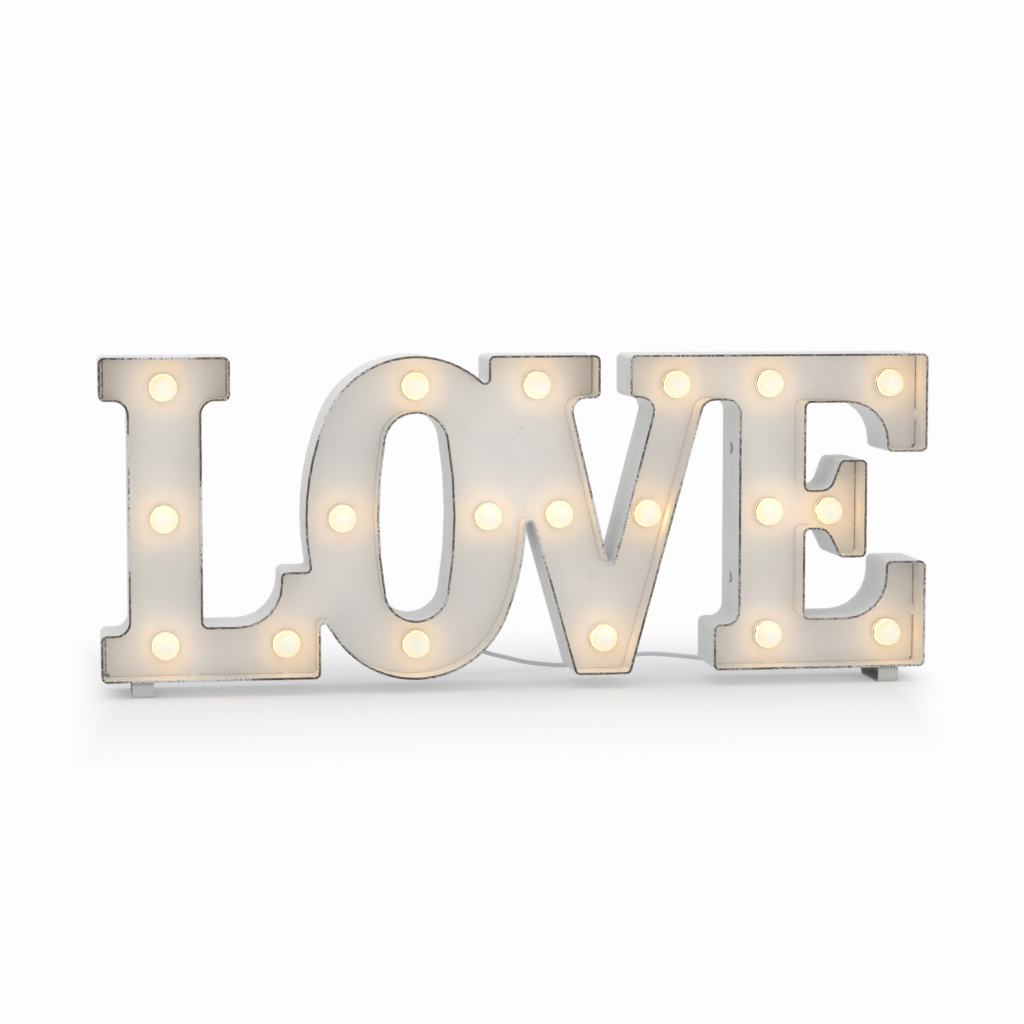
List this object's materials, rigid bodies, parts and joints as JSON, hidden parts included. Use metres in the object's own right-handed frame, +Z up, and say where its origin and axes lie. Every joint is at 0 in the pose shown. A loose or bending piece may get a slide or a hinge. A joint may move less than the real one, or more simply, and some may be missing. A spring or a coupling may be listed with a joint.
{
  "type": "marquee sign",
  "caption": "Free-standing lighted marquee sign of joined slab-serif letters: a sheet-metal tray with round frosted bulbs on a recessed panel, two feet and a switched lead.",
  "frame": {"origin": "centre of the sign's footprint on the surface that its feet stand on", "axes": "+X along the letters to the reader's right, -Y out of the open front, +Z up"},
  "size_m": [0.6, 0.1655, 0.2415],
  "materials": {
    "band_paint": "distressed off-white paint, worn to brown metal along the front rim",
    "panel_paint": "matt off-white paint with fine scuffs",
    "cover_paint": "matt off-white paint",
    "foot_paint": "satin light grey paint",
    "zinc_steel": "zinc-plated",
    "globe_frosted": "frosted translucent, warm when lit",
    "holder_plastic": "translucent cream",
    "led_epoxy": "clear warm epoxy",
    "wire_insulation": "matt",
    "cord_plastic": "satin pale grey",
    "tie_plastic": "woven hook-and-loop",
    "switch_plastic": "fine moulded texture",
    "plug_metal": "nickel-plated",
    "tongue_plastic": "matt white"
  },
  "bodies": {
    "sign": {"band_o_lower": "band_paint", "band_v_point": "band_paint", "band_e_stem": "band_paint", "band_e_lower": "band_paint", "band_e_middle": "band_paint", "band_e_upper": "band_paint", "band_v_crotch": "band_paint", "band_v_serif": "band_paint", "band_o_upper": "band_paint", "band_l_upper": "band_paint", "band_l_lower": "band_paint", "counter_band": "band_paint", "face_panel": "panel_paint", "back_cover": "cover_paint", "cover_brackets": "zinc_steel", "cover_screws": "zinc_steel", "foot_left": "foot_paint", "foot_right": "foot_paint", "foot_rivets": "zinc_steel", "globe_l_1": "globe_frosted", "globe_l_2": "globe_frosted", "globe_l_3": "globe_frosted", "globe_l_4": "globe_frosted", "globe_o_1": "globe_frosted", "globe_o_2": "globe_frosted", "globe_o_3": "globe_frosted", "globe_o_4": "globe_frosted", "globe_v_1": "globe_frosted", "globe_v_2": "globe_frosted", "globe_v_3": "globe_frosted", "globe_v_4": "globe_frosted", "globe_v_5": "globe_frosted", "globe_e_1": "globe_frosted", "globe_e_2": "globe_frosted", "globe_e_3": "globe_frosted", "globe_e_4": "globe_frosted", "globe_e_5": "globe_frosted", "globe_e_6": "globe_frosted", "holders_l": "holder_plastic", "holders_o": "holder_plastic", "holders_v": "holder_plastic", "holders_e": "holder_plastic", "leds": "led_epoxy", "wiring": "wire_insulation", "cord_gland": "cord_plastic", "cord_run": "cord_plastic", "cord_coil": "cord_plastic", "cord_tail": "cord_plastic", "cord_end": "cord_plastic", "cord_tie": "tie_plastic", "switch_base": "switch_plastic", "switch_cover": "switch_plastic", "plug_grip": "switch_plastic", "plug_shell": "plug_metal", "plug_tongue": "tongue_plastic"},
    "rocker": {"switch_rocker": "switch_plastic"}
  },
  "joints": [
    {"name": "rocker_tilt", "type": "hinge", "parent": "sign", "child": "rocker", "pos_m": [0.255, 0.08, 0.01], "axis": [0, 1, 0], "range_deg": [-18, 0]}
  ]
}
